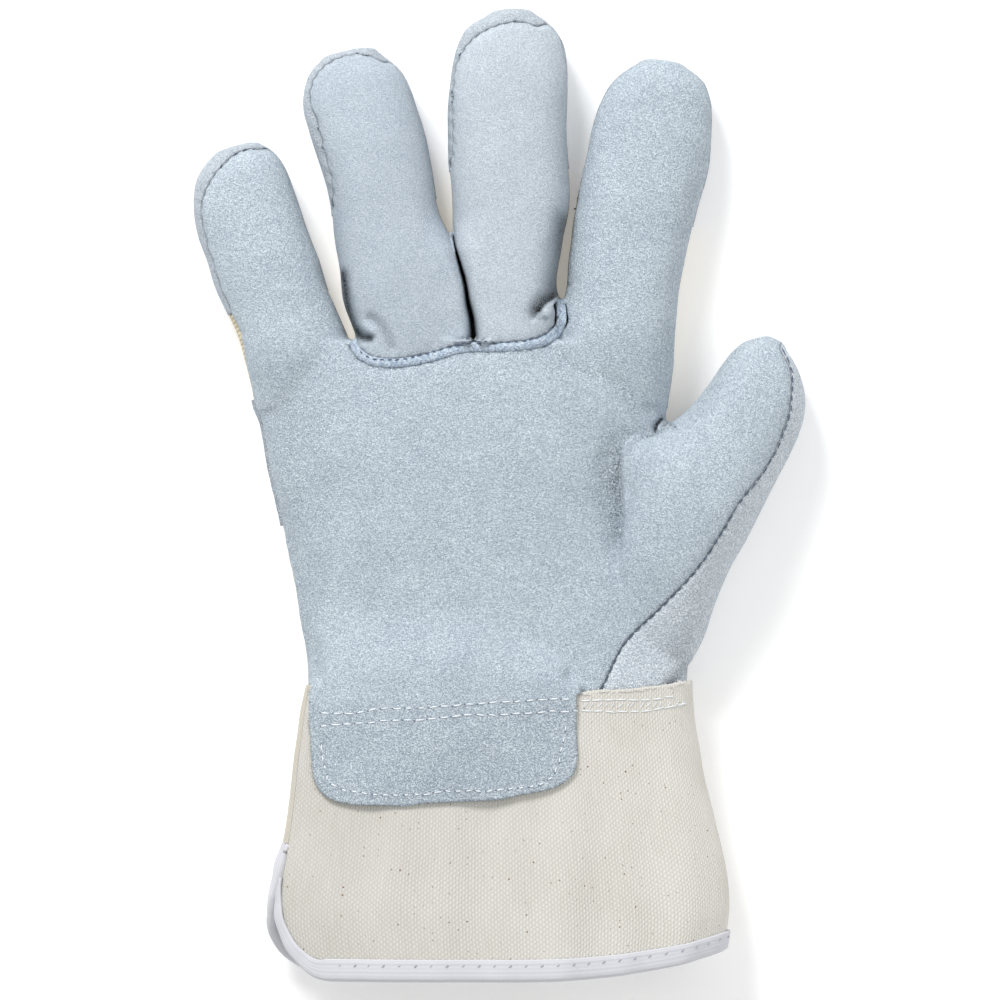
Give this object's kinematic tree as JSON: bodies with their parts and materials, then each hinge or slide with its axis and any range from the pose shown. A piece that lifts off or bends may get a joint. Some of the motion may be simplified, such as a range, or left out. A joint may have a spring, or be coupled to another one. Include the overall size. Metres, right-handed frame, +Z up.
{
  "type": "rigger glove",
  "caption": "Right-hand work glove lying palm up: suede palm with welted finger fronts, cloth back and a wide bound canvas safety cuff.",
  "frame": {"origin": "middle of the footprint, on the surface the glove lies on", "axes": "+Z up out of the palm, +Y from the cuff towards the fingers, +X towards the thumb"},
  "size_m": [0.17, 0.2674, 0.0342],
  "materials": {
    "suede_palm": "matte blue-grey split suede with a short nap",
    "suede_ring": "matte blue-grey split suede with a short nap",
    "suede_middle": "matte blue-grey split suede with a short nap",
    "welt_suede": "matte blue-grey split suede with a short nap",
    "suede_wing": "matte blue-grey split suede with a short nap",
    "cotton_cloth": "matte cream cotton drill",
    "suede_tips": "matte blue-grey split suede with a short nap",
    "suede_strap": "matte blue-grey split suede with a short nap",
    "cotton_canvas": "matte undyed cotton canvas, plain weave with seed flecks",
    "binding_tape": "matte white ribbed cotton tape"
  },
  "bodies": {
    "root": {"palm_leather": "suede_palm", "ring_finger_front": "suede_ring", "middle_finger_front": "suede_middle", "finger_base_welt": "welt_suede", "thumb_wing": "suede_wing", "back_cloth": "cotton_cloth", "little_tip_back": "suede_tips", "ring_tip_back": "suede_tips", "middle_tip_back": "suede_tips", "index_tip_back": "suede_tips", "knuckle_strap": "suede_strap", "cuff_canvas": "cotton_canvas", "cuff_binding": "binding_tape"}
  },
  "joints": []
}
